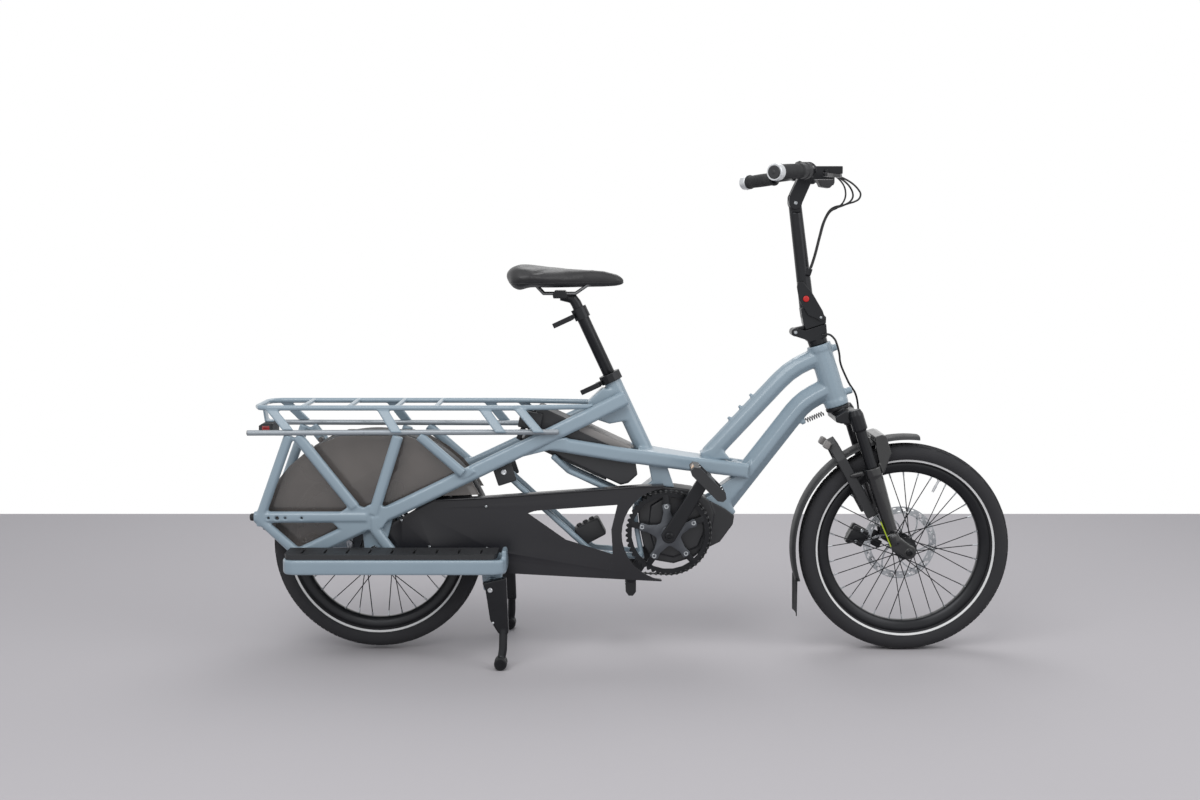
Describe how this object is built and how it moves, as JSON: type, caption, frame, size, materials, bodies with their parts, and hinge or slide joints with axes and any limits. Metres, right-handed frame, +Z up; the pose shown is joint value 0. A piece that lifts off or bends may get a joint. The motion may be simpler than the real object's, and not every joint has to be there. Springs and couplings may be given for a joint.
{
  "type": "longtail cargo bike",
  "caption": "Longtail electric cargo bike with small wide-tyred wheels, a long rack over side footboards, a step-through frame, a mid motor and a folding handlepost.",
  "frame": {"origin": "on the ground, midway along the bike's length, in the wheels' middle plane", "axes": "+X towards the front wheel, +Y towards the rider's left, +Z up; the chain is on the -Y side"},
  "size_m": [1.8206, 0.6712, 1.1778],
  "materials": {
    "frame_paint": "satin blue-grey paint on aluminium",
    "black_metal": "satin black",
    "black_plastic": "matt moulded",
    "smoked_panel": "dark smoked sheet",
    "steel": "bare steel",
    "rubber": "matt",
    "tyre": "matt",
    "saddle_cover": "fine-grained synthetic cover",
    "red_plastic": "glossy red"
  },
  "bodies": {
    "frame": {"front_frame": "frame_paint", "centre_frame": "frame_paint", "rear_frame_right": "frame_paint", "rear_frame_left": "frame_paint", "upper_rack": "frame_paint", "side_rail_right": "frame_paint", "side_rail_left": "frame_paint", "footboard_right": "frame_paint", "footboard_left": "frame_paint", "footboard_deck_right": "black_plastic", "footboard_deck_left": "black_plastic", "wheel_guard_right": "smoked_panel", "wheel_guard_left": "smoked_panel", "rear_mudguard": "black_plastic", "chain_case": "black_plastic", "motor": "black_plastic", "battery": "black_plastic", "battery_rail": "black_metal", "tail_light": "black_plastic", "rear_axle": "steel", "hub_drum": "black_metal", "chain": "steel", "steering_spring": "steel", "seat_collar": "black_metal"},
    "rear_wheel_body": {"rear_tyre": "tyre", "rear_wheel": "black_metal"},
    "sprocket_body": {"sprocket": "steel"},
    "crank": {"chainring": "black_metal", "crank_arm_right": "black_metal", "crank_arm_left": "black_metal"},
    "pedal_right_body": {"pedal_right": "black_plastic"},
    "pedal_left_body": {"pedal_left": "black_plastic"},
    "stand_body": {"stand": "black_metal"},
    "lower_lever": {"lower_quick_release": "black_metal"},
    "outer_post": {"seatpost_outer": "black_metal"},
    "upper_lever": {"upper_quick_release": "black_metal"},
    "seat": {"seatpost_inner": "black_metal", "saddle_rails": "steel", "saddle": "saddle_cover"},
    "steering": {"fork_upper": "black_metal", "handlepost_base": "black_metal", "brake_hose": "rubber"},
    "post": {"handlepost": "black_metal", "control_cables": "rubber"},
    "latch": {"latch_lever": "black_metal"},
    "button": {"latch_button": "red_plastic"},
    "bars": {"stem": "black_metal", "handlebar": "black_metal", "grip_right": "rubber", "grip_left": "rubber", "headlight": "black_plastic"},
    "shifter": {"twist_shifter": "rubber"},
    "brake_right": {"brake_lever_right": "black_metal"},
    "brake_left": {"brake_lever_left": "black_metal"},
    "fork_lowers": {"fork_lower": "black_metal", "front_mudguard": "black_plastic", "ring_lock": "black_plastic", "front_caliper": "black_metal"},
    "front_wheel_body": {"front_tyre": "tyre", "front_wheel": "black_metal"}
  },
  "joints": [
    {"name": "rear_wheel_spin", "type": "hinge", "parent": "frame", "child": "rear_wheel_body", "pos_m": [-0.61879, 0, 0.262], "axis": [0, 1, 0], "continuous": true},
    {"name": "crank_spin", "type": "hinge", "parent": "frame", "child": "crank", "pos_m": [0.08205, 0, 0.297], "axis": [0, 1, 0], "continuous": true},
    {"name": "sprocket_spin", "type": "hinge", "parent": "frame", "child": "sprocket_body", "pos_m": [-0.61879, 0, 0.262], "axis": [0, 1, 0], "continuous": true},
    {"name": "pedal_right_spin", "type": "hinge", "parent": "crank", "child": "pedal_right_body", "pos_m": [0.16826, -0.12, 0.43769], "axis": [0, 1, 0], "continuous": true},
    {"name": "pedal_left_spin", "type": "hinge", "parent": "crank", "child": "pedal_left_body", "pos_m": [-0.00416, 0.12, 0.15631], "axis": [0, 1, 0], "continuous": true},
    {"name": "stand_fold", "type": "hinge", "parent": "frame", "child": "stand_body", "pos_m": [-0.33735, 0, 0.18584], "axis": [0, 1, 0], "range_deg": [0, 85]},
    {"name": "lower_lever_open", "type": "hinge", "parent": "frame", "child": "lower_lever", "pos_m": [-0.08569, -0.0174, 0.65023], "axis": [-0.4222, 0, 0.9065], "range_deg": [0, 120]},
    {"name": "outer_post_slide", "type": "slide", "parent": "frame", "child": "outer_post", "axis": [-0.4222, 0, 0.9065], "range_m": [-0.115, 0.03]},
    {"name": "upper_lever_open", "type": "hinge", "parent": "outer_post", "child": "upper_lever", "pos_m": [-0.15192, -0.0174, 0.80998], "axis": [-0.4222, 0, 0.9065], "range_deg": [0, 120]},
    {"name": "seat_slide", "type": "slide", "parent": "outer_post", "child": "seat", "axis": [-0.4222, 0, 0.9065], "range_m": [-0.01, 0.08]},
    {"name": "steer", "type": "hinge", "parent": "frame", "child": "steering", "pos_m": [0.48926, 0, 0.59898], "axis": [-0.3057, 0, 0.9521], "range_deg": [-45, 45], "stiffness_Nm_per_rad": 4},
    {"name": "post_fold", "type": "hinge", "parent": "steering", "child": "post", "pos_m": [0.38363, 0, 0.77617], "axis": [0, -1, 0], "range_deg": [0, 90]},
    {"name": "latch_open", "type": "hinge", "parent": "post", "child": "latch", "pos_m": [0.44293, 0, 0.81217], "axis": [0, 1, 0], "range_deg": [0, 80]},
    {"name": "button_press", "type": "slide", "parent": "latch", "child": "button", "axis": [0, 1, 0], "range_m": [0, 0.0025], "stiffness_N_per_m": 600, "springref_m": -0.002},
    {"name": "stem_tilt", "type": "hinge", "parent": "post", "child": "bars", "pos_m": [0.38013, 0, 1.08185], "axis": [0, 1, 0], "range_deg": [-30, 12]},
    {"name": "shifter_twist", "type": "hinge", "parent": "bars", "child": "shifter", "pos_m": [0.3678, -0.20922, 1.1487], "axis": [0.5558, 0.8293, 0.0583], "range_deg": [-60, 60]},
    {"name": "brake_right_pull", "type": "hinge", "parent": "bars", "child": "brake_right", "pos_m": [0.45997, -0.15476, 1.13933], "axis": [0, 0, -1], "range_deg": [0, 9], "stiffness_Nm_per_rad": 2, "springref_deg": -11.46},
    {"name": "brake_left_pull", "type": "hinge", "parent": "bars", "child": "brake_left", "pos_m": [0.45997, 0.15476, 1.13933], "axis": [0, 0, 1], "range_deg": [0, 9], "stiffness_Nm_per_rad": 2, "springref_deg": -11.46},
    {"name": "fork_travel", "type": "slide", "parent": "steering", "child": "fork_lowers", "axis": [-0.3057, 0, 0.9521], "range_m": [0, 0.05], "stiffness_N_per_m": 14000, "springref_m": -0.04},
    {"name": "front_wheel_spin", "type": "hinge", "parent": "fork_lowers", "child": "front_wheel_body", "pos_m": [0.65621, 0, 0.254], "axis": [0, 1, 0], "continuous": true}
  ],
  "couplings": [
    {"joint": "sprocket_spin", "follows": "crank_spin", "ratio": 2.7778}
  ]
}
